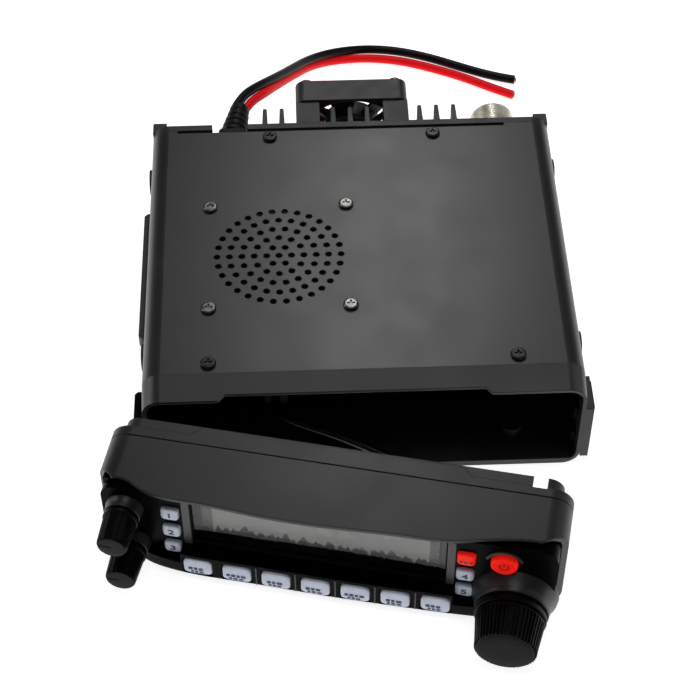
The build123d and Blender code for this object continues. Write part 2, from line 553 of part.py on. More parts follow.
def make_key(x, z, size, front):
    """A keycap with rounded corners and a softened front."""
    back = -16.4
    cap = front_plane(back, z) * Pos(x, 0) * RectangleRounded(*size, 1.1)
    cap = extrude(cap, back - front)
    if size == FUNCTION_KEY:
        cap = chamfer(cap.faces().sort_by(Axis.Y)[0].edges().group_by(Axis.Z)[0], 1.1)
        return cap
    return fillet(cap.edges().group_by(Axis.Y)[0], 0.5)


def key_hole(x, z, size):
    width, height = size[0] + 2 * KEY_GAP, size[1] + 2 * KEY_GAP
    hole = front_plane(-10.0, z) * Pos(x, 0) * RectangleRounded(width, height, 1.1 + KEY_GAP)
    return extrude(hole, 20.0)


def make_front_shell():
    """The head's outer front shell: brow, sides and floor around the face."""
    outer = extrude(head_section(-SEAM_GAP, 0), 30) & Pos(0, 0, -1) * extrude(brow_plan(), HEAD_H + 2)
    low, high = SHELL, HEAD_H - SHELL_TOP
    room = front_plane(1, (low + high) / 2) * RectangleRounded(HEAD_W - 2 * SHELL, high - low, HEAD_R - SHELL)
    inner = extrude(room, 40)
    opening = block((-HEAD_W, HEAD_W), (-40, FACE_Y + 0.01), (-1, LEDGE_Z + 0.6))
    shell = outer - inner - opening
    for sign in (-1, 1):
        shell -= block((sign * 50.0, sign * 69.2), (-40, -13.0), (2.2, 34.6))
    return shell


def make_face_panel():
    """The black face: lens frame, key ledge, knob bosses and every opening for the controls."""
    outline, hollow = head_section(FACE_RIM_Y, SHELL + 0.2), head_section(FACE_RIM_Y, SHELL + 1.6)
    panel = extrude(outline, FACE_RIM_Y - FACE_Y) - extrude(hollow, FACE_RIM_Y - FACE_Y - FACE_T)
    reach = [ledge_y(x) for x in (-50.0, -25.0, 0.0, 24.0, 48.0)]
    bow = Spline((-62.0, -18.0), (-55.0, -21.6), (-50.0, reach[0]), (-25.0, reach[1]), (0.0, reach[2]),
                 (24.0, reach[3]), (48.0, reach[4]), (56.0, -21.0), (60.0, -18.0))
    rim = make_face(bow + Line((60.0, -18.0), (-62.0, -18.0)))
    ledge = Pos(0, 0, 0.6) * extrude(rim, LEDGE_Z - 0.6)
    ledge = fillet(ledge.edges().group_by(Axis.Z)[0].filter_by(GeomType.BSPLINE), 2.6)
    ledge -= block((-HEAD_W, LEDGE_X[0]), (-40, -10), (SIDE_LEDGE_Z, HEAD_H))
    ledge -= block((LEDGE_X[1], HEAD_W), (-40, -10), (SIDE_LEDGE_Z, HEAD_H))
    panel += ledge - block(LEDGE_HOLLOW_X, (-22.2, -10.0), (2.6, LEDGE_Z - 1.2))
    boss_end = KNOB_Y[0] + 0.4
    for x, z in (VOLUME_XZ, SQUELCH_XZ):
        panel += turned_y(x, z, [(0, -15.6), (BOSS_R[0], -15.6), (BOSS_R[1], boss_end), (0, boss_end)])
    boss_end = DIAL_Y[0] + 0.5
    panel += turned_y(DIAL_X, DIAL_Z, [(0, -15.6), (12.8, -15.6), (11.2, boss_end), (0, boss_end)])
    panel &= block((-HEAD_W, HEAD_W), (-40, 0), (0.0, HEAD_H))
    panel -= block((LENS_X[0] - 0.2, LENS_X[1] + 0.2), (-40, 0), (LENS_Z[0] - 0.2, LENS_Z[1] + 0.2))
    panel -= [key_hole(x, z, size) for _, x, z, size, _ in key_places()]
    panel -= rod_y(POWER_X, POWER_Z, -40, 0, POWER_R + KEY_GAP)
    panel -= [rod_y(x, z, -40, 0, SHAFT_R + 1.2) for x, z in (VOLUME_XZ, SQUELCH_XZ)]
    return panel - rod_y(DIAL_X, DIAL_Z, -40, 0, 3.4) - make_front_shell()


def tongue_section(inset):
    """The outline of the rear shell's tongue, drawn in by inset."""
    low, high = TONGUE_Z
    size = (2 * (TONGUE_X - inset), high - low - 2 * inset)
    return front_plane(TONGUE_Y, (low + high) / 2) * RectangleRounded(*size, HEAD_R - SHELL - inset)


def make_rear_shell():
    """The head's rear shell with the tab and tongue that dock under the main unit's cover."""
    shell = extrude(head_section(REAR_EDGE_Y, 0), REAR_EDGE_Y)
    shell -= extrude(head_section(REAR_EDGE_Y - SHELL, SHELL), 10)
    tab = [(-43.8, TAB_Y), (37.7, TAB_Y), (41.2, REAR_EDGE_Y - 1), (-47.3, REAR_EDGE_Y - 1)]
    shell += Pos(0, 0, 34.0) * extrude(make_face(Polyline(*tab, close=True)), 4.0)
    rim = tongue_section(0) - tongue_section(TONGUE_T)
    shell += extrude(rim, TONGUE_Y - REAR_EDGE_Y + 1)
    shell -= block((58.6, 63.0), (REAR_EDGE_Y - 0.6, TONGUE_Y + 1), (34.0, 39.0))
    shell -= block((JACK_X - 6.2, JACK_X + 6.2), (-5, 8), (JACK_Z - 6.6, JACK_Z + 6.6))
    return shell - [rod_y(x, z, -1, 8, 1.7) for x, z in head_screw_places()]


def head_screw_places():
    return [(sign * HEAD_SCREW_X, z) for sign in (-1, 1) for z in HEAD_SCREW_Z]


def make_head_screws():
    """Four screws that close the head from behind."""
    screws = []
    for x, z in head_screw_places():
        screw = rod_y(x, z, REAR_EDGE_Y, REAR_EDGE_Y + 1.2, 2.4) + rod_y(x, z, -5.0, REAR_EDGE_Y, SHANK_R)
        screws.append(screw - Pos(x, REAR_EDGE_Y + 1.2, z) * (Box(2.4, 1.2, 0.5) + Box(0.5, 1.2, 2.4)))
    return Compound(screws)


def make_lens():
    """The clear window over the display."""
    lens = block(LENS_X, (-18.4, -17.2), LENS_Z)
    return fillet(lens.edges().filter_by(Axis.Y), 1.0)


def make_display():
    """The liquid-crystal glass."""
    return block((-38.8, 34.0), (-16.2, -14.4), (13.0, 32.6))


def make_display_holder():
    """The lamp frame that carries the display in front of the board."""
    holder = block((-43.0, 38.0), (-14.2, -8.2), (7.0, 34.4))
    return holder - block((-36.0, 31.0), (-15, -9.4), (14.0, 31.0))


def make_head_board():
    """The head's circuit board with its processor."""
    board = block((-66.0, 66.0), (-8.0, -6.4), (3.4, 34.6))
    processor = block((-20.0, -6.0), (-6.4, -4.6), (12.0, 26.0))
    return board + processor + block((40.0, 50.0), (-6.4, -5.0), (14.0, 22.0))


def make_key_mat():
    """The rubber mat behind the keys, with a dome for each."""
    back = -16.4 + KEY_TRAVEL + KEY_GAP
    mat = block((-52.0, 48.0), (back + 0.7, back + 1.4), (4.0, 9.0))
    left = block((-51.5, -44.5), (back + 0.7, back + 1.4), (4.0, 31.0))
    right = block((39.0, 48.0), (back + 0.7, back + 1.4), (4.0, 31.0))
    domes = [rod_y(x, z, back, back + 0.9, 1.8) for _, x, z, _, _ in key_places()]
    return mat + left + right + domes


def make_head_jack():
    """The modular jack in the head's back."""
    jack = block((JACK_X - 6.0, JACK_X + 6.0), (-5.4, 2.6), (JACK_Z - 6.0, JACK_Z + 6.0))
    return jack - block((JACK_X - 4.0, JACK_X + 4.0), (-4.4, 4), (JACK_Z - 4.2, JACK_Z + 4.8))


def make_control(x, z, front):
    """A panel-mounted turning control: its body behind the face, and its bush around the shaft's bore."""
    body = block((x - 4.8, x + 4.8), (-15.4, -8.4), (z - 4.8, z + 4.8))
    bush = rod_y(x, z, -15.6, front, SHAFT_R + 1.0)
    return body + bush - rod_y(x, z, -40, -9.4, SHAFT_R + SHAFT_FIT)


def make_small_knob(x, z, mark):
    """A small tapered knob with flutes and a pointer slot across half its tip, and its shaft."""
    (r0, r1), (y0, y1) = KNOB_R, KNOB_Y
    knob = turned_y(x, z, [(0, y0), (r0 + 0.2, y0), (r0 + 0.2, y0 - 1.4), (r0, y0 - 1.6), (r1, y1 + 0.6),
                           (r1 - 0.6, y1), (0, y1)])
    for k in range(18):
        turn = 2 * pi * k / 18
        knob -= rod_y(x + (r0 + 0.25) * cos(turn), z + (r0 + 0.25) * sin(turn), y0 - 2.4, y1 + 1.2, 0.45)
    knob -= Pos(x, y1, z) * Rot(0, mark, 0) * Pos(2.0, 0, 0) * Box(4.0, 1.0, 0.8)
    return knob + rod_y(x, z, y0 - 1, -10.4, SHAFT_R)


def make_dial_knob():
    """The large tuning dial: base ring, fluted taper and serrated tip, and its shaft."""
    (r0, r1), (y0, y1) = DIAL_R, DIAL_Y
    knob = turned_y(DIAL_X, DIAL_Z, [(0, y0), (r0, y0), (r0, y0 - 2.2), (r0 - 0.6, y0 - 2.5), (r1, y1 + 0.8),
                                     (r1 - 0.8, y1), (0, y1)])
    flutes = 36
    for k in range(flutes):
        flute = Pos((r0 + r1) / 2 + 0.05, (y0 - 3.0 + y1) / 2, 0) * Box(0.9, y0 - 3.4 - y1, 0.7)
        knob -= Pos(DIAL_X, 0, DIAL_Z) * Rot(0, 360 * k / flutes, 0) * flute
    return knob + rod_y(DIAL_X, DIAL_Z, y0 - 1, -10.4, 3.0)


def make_encoder():
    """The detented encoder that the dial turns."""
    body = block((DIAL_X - 6.4, DIAL_X + 6.4), (-15.4, -8.4), (DIAL_Z - 6.4, DIAL_Z + 6.4))
    return body - rod_y(DIAL_X, DIAL_Z, -40, -9.4, 3.0 + SHAFT_FIT)


def make_power_button():
    """The round power button with a shallow dished front."""
    front = FACE_Y - 1.5
    cap = rod_y(POWER_X, POWER_Z, -16.4, front, POWER_R)
    cap = fillet(cap.edges().group_by(Axis.Y)[0], 0.8)
    return cap - Pos(POWER_X, front - 24.7, POWER_Z) * Sphere(25.0)


def head_cable_plug():
    return Pos(JACK_X, 5.15, JACK_Z) * modular_plug()


UNIT_PIECES = {
    "chassis_frame": make_chassis_frame,
    "top_cover": make_top_cover,
    "bottom_cover": make_bottom_cover,
    "cover_screws": lambda: Compound([pan_screw(x, y, HEIGHT) for x, y in cover_screw_places()]),
    "speaker_screws": lambda: Compound([pan_screw(x, y, HEIGHT) for x, y in speaker_screw_places()]),
    "bottom_screws": lambda: Compound([flush_screw(x, y) for x, y in cover_screw_places()]),
    "speaker_frame": make_speaker_frame,
    "speaker_cone": make_speaker_cone,
    "main_board": make_main_board,
    "power_module": make_power_module,
    "shield_can": make_shield_can,
    "capacitors": make_capacitors,
    "front_bulkhead": make_front_bulkhead,
    "control_jack": make_control_jack,
    "unit_cable_plug": make_cable_plug_unit,
    "microphone_jack": make_microphone_jack,
    "release_latch": make_release_latch,
    "fan_frame": make_fan_frame,
    "fan_rotor": make_fan_rotor,
    "fan_screws": make_fan_screws,
    "fan_leads": make_fan_leads,
    "antenna_socket": make_antenna_socket,
    "antenna_insulator": make_antenna_insulator,
    "antenna_contact": make_antenna_contact,
    "data_jack": make_data_jack,
    "sound_jack": make_sound_jack,
    "cable_grommet": make_cable_grommet,
    "power_lead_black": lambda: make_cord("power_lead_black", BLACK_ROUTE, LEAD_R),
    "power_lead_red": lambda: make_cord("power_lead_red", RED_ROUTE, LEAD_R),
    "control_cable": lambda: make_cord("control_cable", CABLE_ROUTE, CABLE_R),
}

HEAD_PIECES = {
    "head_front_shell": make_front_shell,
    "head_rear_shell": make_rear_shell,
    "face_panel": make_face_panel,
    "display_window": make_lens,
    "display_glass": make_display,
    "display_holder": make_display_holder,
    "head_board": make_head_board,
    "key_mat": make_key_mat,
    "head_jack": make_head_jack,
    "head_cable_plug": head_cable_plug,
    "head_screws": make_head_screws,
    "knob_controls": lambda: Compound([make_control(*xz, KNOB_Y[0] + 0.3) for xz in (VOLUME_XZ, SQUELCH_XZ)]),
    "dial_encoder": make_encoder,
    "volume_knob": lambda: make_small_knob(*VOLUME_XZ, POINTER_TURN),
    "squelch_knob": lambda: make_small_knob(*SQUELCH_XZ, POINTER_TURN),
    "dial_knob": make_dial_knob,
    "power_button": make_power_button,
}

os.makedirs("parts", exist_ok=True)
for node, make in UNIT_PIECES.items():
    export_step(make(), f"parts/{node}.step")
head_place = Pos(HEAD_X, HEAD_Y, 0) * Rot(0, 0, HEAD_YAW)
for node, make in HEAD_PIECES.items():
    export_step(head_place * make(), f"parts/{node}.step")
for node, x, z, size, front in key_places():
    export_step(head_place * make_key(x, z, size, front), f"parts/{node}.step")
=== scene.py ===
import json
import math

import bmesh
import bpy
from mathutils import Matrix, Vector


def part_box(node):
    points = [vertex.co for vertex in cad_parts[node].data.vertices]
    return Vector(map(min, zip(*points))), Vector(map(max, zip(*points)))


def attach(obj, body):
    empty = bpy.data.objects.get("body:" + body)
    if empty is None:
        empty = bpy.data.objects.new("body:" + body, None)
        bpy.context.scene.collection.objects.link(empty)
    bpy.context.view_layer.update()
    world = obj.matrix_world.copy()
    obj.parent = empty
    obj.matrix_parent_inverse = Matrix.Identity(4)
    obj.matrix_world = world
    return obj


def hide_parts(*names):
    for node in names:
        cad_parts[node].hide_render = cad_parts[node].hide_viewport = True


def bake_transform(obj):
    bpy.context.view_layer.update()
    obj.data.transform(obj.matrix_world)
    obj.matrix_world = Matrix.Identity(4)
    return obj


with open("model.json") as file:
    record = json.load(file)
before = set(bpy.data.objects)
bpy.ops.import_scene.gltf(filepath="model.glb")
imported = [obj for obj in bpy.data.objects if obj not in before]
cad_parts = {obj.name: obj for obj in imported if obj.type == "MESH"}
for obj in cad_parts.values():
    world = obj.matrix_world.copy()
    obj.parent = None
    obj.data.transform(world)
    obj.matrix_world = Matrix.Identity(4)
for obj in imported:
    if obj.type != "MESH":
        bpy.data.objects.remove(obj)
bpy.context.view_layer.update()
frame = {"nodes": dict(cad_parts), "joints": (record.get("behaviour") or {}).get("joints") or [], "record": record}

MM = 0.001

# ---------------------------------------------------------------- places shared with the CAD model

HEAD_FRONT = Vector(next(j["axis"] for j in frame["joints"] if j["name"] == "head_slide"))
HEAD_YAW = math.atan2(HEAD_FRONT.x, -HEAD_FRONT.y)
HEAD = Matrix.Translation(Vector((-9.4, -86.9, 0)) * MM) @ Matrix.Rotation(HEAD_YAW, 4, "Z")

LEAD_R = 1.7 * MM
CABLE_R = 1.4 * MM
BLACK_ROUTE = [(-40.85, 82.8, 31.2), (-38.7, 88.4, 31.0), (-33.8, 95.0, 29.5), (-28.0, 104.0, 25.2),
               (-21.0, 117.2, 18.4), (-14.0, 130.9, 11.6), (-3.7, 141.8, 5.8), (9.7, 147.4, 2.3),
               (22.5, 146.2, 1.7), (35.0, 141.4, 1.7), (47.4, 134.9, 1.7), (59.1, 129.4, 1.7),
               (66.8, 127.2, 1.7)]
RED_ROUTE = [(-38.35, 82.4, 28.8), (-35.8, 88.0, 28.6), (-31.0, 94.6, 26.6), (-26.2, 105.2, 21.4),
             (-19.2, 119.4, 14.4), (-12.2, 132.7, 7.3), (-2.4, 140.9, 2.5), (9.2, 142.6, 1.7),
             (22.2, 140.5, 1.7), (34.6, 135.6, 1.7), (47.0, 129.4, 1.7), (58.7, 121.9, 1.7),
             (65.4, 118.3, 1.7)]
CABLE_ROUTE = [(-28.4, -35.0, 8.0), (-28.3, -40.4, 8.2), (-25.4, -45.2, 8.8), (-19.8, -48.4, 9.3),
               (-8.5, -53.5, 9.5), (3.5, -60.0, 9.3), (10.5, -64.6, 9.0), (15.4, -70.6, 8.9),
               (18.1, -78.7, 9.0), (16.79, -84.48, 9.0)]


# ---------------------------------------------------------------- camera and light

def make_camera():
    """A long lens from the front and above, a touch left of the middle."""
    azimuth, elevation, roll = math.radians(-1.99), math.radians(49.36), math.radians(-0.17)
    back = Vector((math.sin(azimuth) * math.cos(elevation), -math.cos(azimuth) * math.cos(elevation),
                   math.sin(elevation)))
    data = bpy.data.cameras.new("camera")
    data.sensor_width, data.lens = 36.0, 94.32
    data.clip_start, data.clip_end = 0.02, 20.0
    camera = bpy.data.objects.new("camera", data)
    aim = Vector((-3.54, -25.94, 20.0)) * MM
    camera.rotation_mode = "QUATERNION"
    level = (-back).to_track_quat("-Z", "Y")
    camera.rotation_quaternion = level @ Matrix.Rotation(roll, 4, "Z").to_quaternion()
    camera.location = aim + back * 0.60586
    bpy.context.scene.collection.objects.link(camera)
    bpy.context.scene.camera = camera


def area_light(name, place, aim, size, watts, tint=(1, 1, 1)):
    data = bpy.data.lights.new(name, "AREA")
    data.shape, data.size, data.size_y = "RECTANGLE", size[0], size[1]
    data.energy, data.color = watts, tint
    light = bpy.data.objects.new(name, data)
    light.location = place
    light.rotation_mode = "QUATERNION"
    light.rotation_quaternion = (Vector(aim) - Vector(place)).to_track_quat("-Z", "Y")
    bpy.context.scene.collection.objects.link(light)


def make_studio():
    """A white table, a pale surround and soft boxes overhead and at the sides."""
    world = bpy.data.worlds.new("surround")
    world.use_nodes = True
    world.node_tree.nodes["Background"].inputs["Color"].default_value = (0.93, 0.95, 1.0, 1)
    world.node_tree.nodes["Background"].inputs["Strength"].default_value = 0.09
    bpy.context.scene.world = world
    area_light("back_strip", (0.035, 0.42, 0.52), (0.01, 0, 0.04), (0.10, 0.30), 0.80)
    area_light("top_box", (0.05, -0.1, 1.1), (0, 0, 0), (0.5, 0.4), 1.3)
    area_light("left_strip", (-0.7, 0.1, 0.35), (0, 0, 0.02), (0.15, 0.6), 1.1)
    area_light("right_strip", (0.6, 0.05, 0.42), (0.06, 0, 0.02), (0.14, 0.6), 0.45)
    mesh = bpy.data.meshes.new("table_top")
    edit = bmesh.new()
    bmesh.ops.create_grid(edit, x_segments=1, y_segments=1, size=6)
    edit.to_mesh(mesh)
    edit.free()
    table = bpy.data.objects.new("table_top", mesh)
    table.location.z = -0.0002
    bpy.context.scene.collection.objects.link(table)
    paper = bpy.data.materials.new("paper")
    paper.use_nodes = True
    shader = paper.node_tree.nodes["Principled BSDF"]
    shader.inputs["Base Color"].default_value = (0.9, 0.9, 0.9, 1)
    shader.inputs["Roughness"].default_value = 0.9
    shader.inputs["Specular IOR Level"].default_value = 0.0
    shader.inputs["Emission Color"].default_value = (1, 1, 1, 1)
    shader.inputs["Emission Strength"].default_value = 0.86
    mesh.materials.append(paper)
    bpy.context.scene.view_settings.view_transform = "Standard"


make_camera()
make_studio()


# ---------------------------------------------------------------- materials

class Surface:
    """Builds one procedural material on the Principled shader, in object coordinates (metres)."""

    def __init__(self, name, **sockets):
        self.material = bpy.data.materials.new(name)
        self.material.use_nodes = True
        self.tree = self.material.node_tree
        self.shader = self.tree.nodes["Principled BSDF"]
        self.place = self.tree.nodes.new("ShaderNodeTexCoord").outputs["Object"]
        for socket, value in sockets.items():
            self.shader.inputs[socket.replace("_", " ")].default_value = value

    def noise(self, millimetres, detail=3.0, stretch=None):
        """Noise whose features are about that many millimetres wide."""
        node = self.tree.nodes.new("ShaderNodeTexNoise")
        node.inputs["Scale"].default_value = 1 / (millimetres * MM)
        node.inputs["Detail"].default_value = detail
        place = self.place
        if stretch:
            scaling = self.tree.nodes.new("ShaderNodeVectorMath")
            scaling.operation = "MULTIPLY"
            scaling.inputs[1].default_value = stretch
            self.tree.links.new(place, scaling.inputs[0])
            place = scaling.outputs[0]
        self.tree.links.new(place, node.inputs["Vector"])
        return node.outputs["Fac"]

    def ramp(self, value, low, high, start=0.3, end=0.7):
        """A colour that runs from low to high as value goes from start to end."""
        node = self.tree.nodes.new("ShaderNodeValToRGB")
        node.color_ramp.elements[0].position, node.color_ramp.elements[1].position = start, end
        node.color_ramp.elements[0].color, node.color_ramp.elements[1].color = (*low, 1), (*high, 1)
        self.tree.links.new(value, node.inputs["Fac"])
        return node.outputs["Color"]

    def span(self, value, low, high, start=0.3, end=0.7):
        """A number that runs from low to high as value goes from start to end."""
        node = self.tree.nodes.new("ShaderNodeMapRange")
        for name, number in (("From Min", start), ("From Max", end), ("To Min", low), ("To Max", high)):
            node.inputs[name].default_value = number
        self.tree.links.new(value, node.inputs["Value"])
        return node.outputs["Result"]

    def maths(self, kind, a, b):
        node = self.tree.nodes.new("ShaderNodeMath")
        node.operation = kind
        for socket, value in zip(node.inputs, (a, b)):
            if isinstance(value, (int, float)):
                socket.default_value = value
            else:
                self.tree.links.new(value, socket)
        return node.outputs[0]

    def colour(self, value):
        self.tree.links.new(value, self.shader.inputs["Base Color"])
        return self

    def rough(self, value):
        self.tree.links.new(value, self.shader.inputs["Roughness"])
        return self

    def soft_edges(self, radius_mm):
        """Rounds how sharp edges catch the light."""
        node = self.tree.nodes.new("ShaderNodeBevel")
        node.samples = 6
        node.inputs["Radius"].default_value = radius_mm * MM
        self.tree.links.new(node.outputs["Normal"], self.shader.inputs["Normal"])
        return self

    def bump(self, height, depth_mm, strength=1.0):
        node = self.tree.nodes.new("ShaderNodeBump")
        node.inputs["Distance"].default_value = depth_mm * MM
        node.inputs["Strength"].default_value = strength
        self.tree.links.new(height, node.inputs["Height"])
        if self.shader.inputs["Normal"].is_linked:
            self.tree.links.new(self.shader.inputs["Normal"].links[0].from_socket, node.inputs["Normal"])
        self.tree.links.new(node.outputs["Normal"], self.shader.inputs["Normal"])
        return self


def simple(name, dark, light, rough, patch=12.0, grain=0.5, depth=0.01, edge=0.0, **sockets):
    """A finish that varies in patches of one size and has a fine grain of another."""
    made = Surface(name, **sockets)
    if edge:
        made.soft_edges(edge)
    patches, grains = made.noise(patch), made.noise(grain, 2.0)
    total = made.maths("ADD", made.maths("MULTIPLY", grains, 0.5), made.maths("MULTIPLY", patches, 0.5))
    made.colour(made.ramp(total, dark, light, 0.38, 0.62))
    made.rough(made.span(total, rough[0], rough[1], 0.38, 0.62))
    made.bump(grains, depth)
    return made.material


def display_surface():
    """Reflective liquid-crystal glass: pale, with dark borders and a ragged band of painted shade below."""
    made = Surface("display", Roughness=0.22)
    parts = made.tree.nodes.new("ShaderNodeSeparateXYZ")
    made.tree.links.new(made.place, parts.inputs[0])
    across = made.tree.nodes.new("ShaderNodeVectorMath")
    across.operation = "DOT_PRODUCT"
    across.inputs[1].default_value = HEAD.col[0].xyz
    made.tree.links.new(made.place, across.inputs[0])
    middle = HEAD.col[0].xyz.dot(HEAD.translation) - 2.3 * MM
    aside = made.maths("ABSOLUTE", made.maths("SUBTRACT", across.outputs["Value"], middle), 0.0)
    border = made.span(aside, 1.0, 0.0, 0.0332, 0.0336)
    # The dark band under a ragged edge near the bottom of the glass is painted shade; lit marks the part above it.
    ragged = made.maths("MULTIPLY", made.noise(2.4, 3.0, (1.0, 1.0, 0.0)), 15.0 * MM)
    lit = made.span(made.maths("ADD", parts.outputs["Z"], ragged), 0.0, 1.0, 0.0266, 0.0276)
    shown = made.maths("MULTIPLY", lit, made.maths("MAXIMUM", border, 0.12))
    pale = made.noise(9, 2.0)
    made.colour(made.ramp(shown, (0.003, 0.003, 0.004), (0.30, 0.305, 0.275), 0.02, 0.98))
    made.rough(made.span(pale, 0.18, 0.30))
    made.bump(pale, 0.002)
    return made.material


DARK = dict(Specular_IOR_Level=0.2, IOR=1.16)
MATERIALS = {
    "casting": simple("casting", (0.013, 0.013, 0.015), (0.021, 0.021, 0.024), (0.42, 0.55), 9, 0.7,
                      0.02, 0.35),
    "cover": simple("cover", (0.013, 0.013, 0.0142), (0.019, 0.019, 0.0203), (0.34, 0.40), 18, 0.35,
                    0.006, 0.3),
    "black_screw": simple("black_screw", (0.008, 0.008, 0.009), (0.03, 0.03, 0.03), (0.25, 0.4), 2, 0.2,
                          0.004, 0.15, Metallic=0.5),
    "steel_screw": simple("steel_screw", (0.10, 0.095, 0.09), (0.2, 0.19, 0.18), (0.22, 0.4), 2, 0.2, 0.004,
                          Metallic=1.0),
    "speaker_steel": simple("speaker_steel", (0.2, 0.2, 0.2), (0.35, 0.35, 0.34), (0.3, 0.45), 5, 0.4, 0.004,
                            Metallic=1.0),
    "speaker_paper": simple("speaker_paper", (0.004, 0.004, 0.004), (0.012, 0.012, 0.012), (0.8, 0.95), 3,
                            0.3, 0.06),
    "circuit_board": simple("circuit_board", (0.01, 0.07, 0.03), (0.03, 0.16, 0.07), (0.3, 0.45), 4, 0.6,
                            0.01),
    "module_case": simple("module_case", (0.01, 0.01, 0.01), (0.03, 0.03, 0.03), (0.5, 0.65), 4, 0.3, 0.02),
    "tinned_steel": simple("tinned_steel", (0.45, 0.45, 0.43), (0.65, 0.65, 0.62), (0.25, 0.4), 6, 0.4, 0.004,
                           Metallic=1.0),
    "capacitor_sleeve": simple("capacitor_sleeve", (0.01, 0.015, 0.05), (0.02, 0.03, 0.09), (0.2, 0.3)),
    "black_plastic": simple("black_plastic", (0.0015, 0.0015, 0.0016), (0.004, 0.004, 0.0042), (0.38, 0.52),
                            6, 0.4, 0.015, **DARK),
    "clear_plastic": simple("clear_plastic", (0.25, 0.25, 0.24), (0.4, 0.4, 0.38), (0.12, 0.2), 4, 0.5, 0.002,
                            Transmission_Weight=0.6),
    "fan_plastic": simple("fan_plastic", (0.016, 0.0165, 0.014), (0.028, 0.029, 0.025), (0.42, 0.55), 6, 0.4,
                          0.02, 0.3),
    "fan_wire": simple("fan_wire", (0.5, 0.01, 0.01), (0.7, 0.02, 0.015), (0.35, 0.45)),
    "nickel": simple("nickel", (0.80, 0.75, 0.62), (0.93, 0.88, 0.76), (0.26, 0.40), 5, 0.3, 0.003,
                     Metallic=0.75),
    "white_insulator": simple("white_insulator", (0.75, 0.73, 0.68), (0.88, 0.86, 0.8), (0.4, 0.5)),
    "gold_contact": simple("gold_contact", (0.7, 0.42, 0.2), (0.85, 0.55, 0.28), (0.2, 0.3), Metallic=1.0),
    "black_rubber": simple("black_rubber", (0.004, 0.004, 0.004), (0.009, 0.009, 0.009), (0.42, 0.58), 4, 0.3,
                           0.02, Specular_IOR_Level=0.2),
    "black_lead": simple("black_lead", (0.004, 0.004, 0.0045), (0.010, 0.010, 0.0105), (0.30, 0.42), 5, 0.5,
                         0.008, Specular_IOR_Level=0.25, IOR=1.3),
    # The red lead's red emission is a painted glow that brightens its insulation.
    "red_lead": simple("red_lead", (0.84, 0.005, 0.010), (0.98, 0.010, 0.018), (0.36, 0.46), 5, 0.5, 0.006,
                       Specular_IOR_Level=0.12, Emission_Color=(1.0, 0.01, 0.015, 1), Emission_Strength=0.12),
    "black_cable": simple("black_cable", (0.003, 0.003, 0.003), (0.007, 0.007, 0.007), (0.22, 0.32), 5, 0.5,
                          0.004),
    "head_shell": simple("head_shell", (0.011, 0.011, 0.013), (0.016, 0.016, 0.0185), (0.38, 0.46), 16, 0.3,
                         0.006, 0.5),
    "gloss_face": simple("gloss_face", (0.0008, 0.0008, 0.001), (0.002, 0.002, 0.0023), (0.26, 0.36), 14, 0.6,
                         0.001, 0.25, **DARK),
    "window": simple("window", (0.9, 0.9, 0.9), (0.96, 0.96, 0.96), (0.02, 0.05), 20, 3.0, 0.0002,
                     Transmission_Weight=1.0, IOR=1.25, Specular_IOR_Level=0.3),
    "display": display_surface(),
    "white_holder": simple("white_holder", (0.02, 0.02, 0.02), (0.04, 0.04, 0.04), (0.5, 0.6)),
    "grey_rubber": simple("grey_rubber", (0.02, 0.02, 0.02), (0.05, 0.05, 0.05), (0.6, 0.7)),
    "control_metal": simple("control_metal", (0.05, 0.05, 0.05), (0.1, 0.1, 0.1), (0.3, 0.4), Metallic=1.0),
    "knob": simple("knob", (0.0015, 0.0015, 0.0017), (0.004, 0.004, 0.0043), (0.36, 0.48), 4, 0.25, 0.010,
                   Specular_IOR_Level=0.3, IOR=1.25),
    # The red keys' red emission is a painted glow that brightens them.
    "red_key": simple("red_key", (0.88, 0.008, 0.004), (1.0, 0.016, 0.008), (0.36, 0.46), 3, 0.4, 0.003,
                      Specular_IOR_Level=0.15, Emission_Color=(1.0, 0.012, 0.004, 1), Emission_Strength=0.35),
    "white_key": simple("white_key", (0.56, 0.60, 0.71), (0.69, 0.74, 0.86), (0.28, 0.38), 3, 0.4, 0.003,
                        Subsurface_Weight=0.2, Subsurface_Scale=0.001),
}
INK = simple("ink", (0.010, 0.012, 0.07), (0.03, 0.035, 0.13), (0.4, 0.5), 2, 0.3, 0.001)
RED_INK = simple("red_ink", (0.16, 0.003, 0.002), (0.25, 0.006, 0.004), (0.4, 0.5), 2, 0.3, 0.001)
DIAL_CAP = simple("dial_cap", (0.004, 0.004, 0.0045), (0.009, 0.009, 0.0095), (0.42, 0.52), 3, 0.3, 0.01,
                  Specular_IOR_Level=0.2, IOR=1.25)


def dress_nodes():
    """Every carried-over CAD node takes the material of its slot."""
    slots = {row["node"]: row["material_slot"] for row in frame["record"]["subparts"]}
    for node, piece in frame["nodes"].items():
        piece.data.materials.clear()
        piece.data.materials.append(MATERIALS[slots[node]])


dress_nodes()


# ---------------------------------------------------------------- mesh building, in millimetres

def make_piece(name, edit, material, body, at=None, stands_for=()):
    """Turns millimetre geometry into a piece that rides on a body."""
    bmesh.ops.recalc_face_normals(edit, faces=edit.faces)
    bmesh.ops.scale(edit, vec=(MM, MM, MM), verts=edit.verts)
    mesh = bpy.data.meshes.new(name)
    edit.to_mesh(mesh)
    edit.free()
    mesh.shade_smooth()
    mesh.set_sharp_from_angle(angle=math.radians(38))
    mesh.materials.append(material)
    piece = bpy.data.objects.new(name, mesh)
    piece.matrix_world = at or Matrix.Identity(4)
    bpy.context.scene.collection.objects.link(piece)
    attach(piece, body)
    if stands_for:
        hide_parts(*stands_for)
    return piece


def loft(edit, rings, start=True, end=True):
    """A skin through rings of equally many points, closed at its ends."""
    rows = [[edit.verts.new(point) for point in ring] for ring in rings]
    for near, far in zip(rows, rows[1:]):
        for i in range(len(near)):
            j = (i + 1) % len(near)
            edit.faces.new((near[i], near[j], far[j], far[i]))
    if start:
        edit.faces.new(rows[0][::-1])
    if end:
        edit.faces.new(rows[-1])


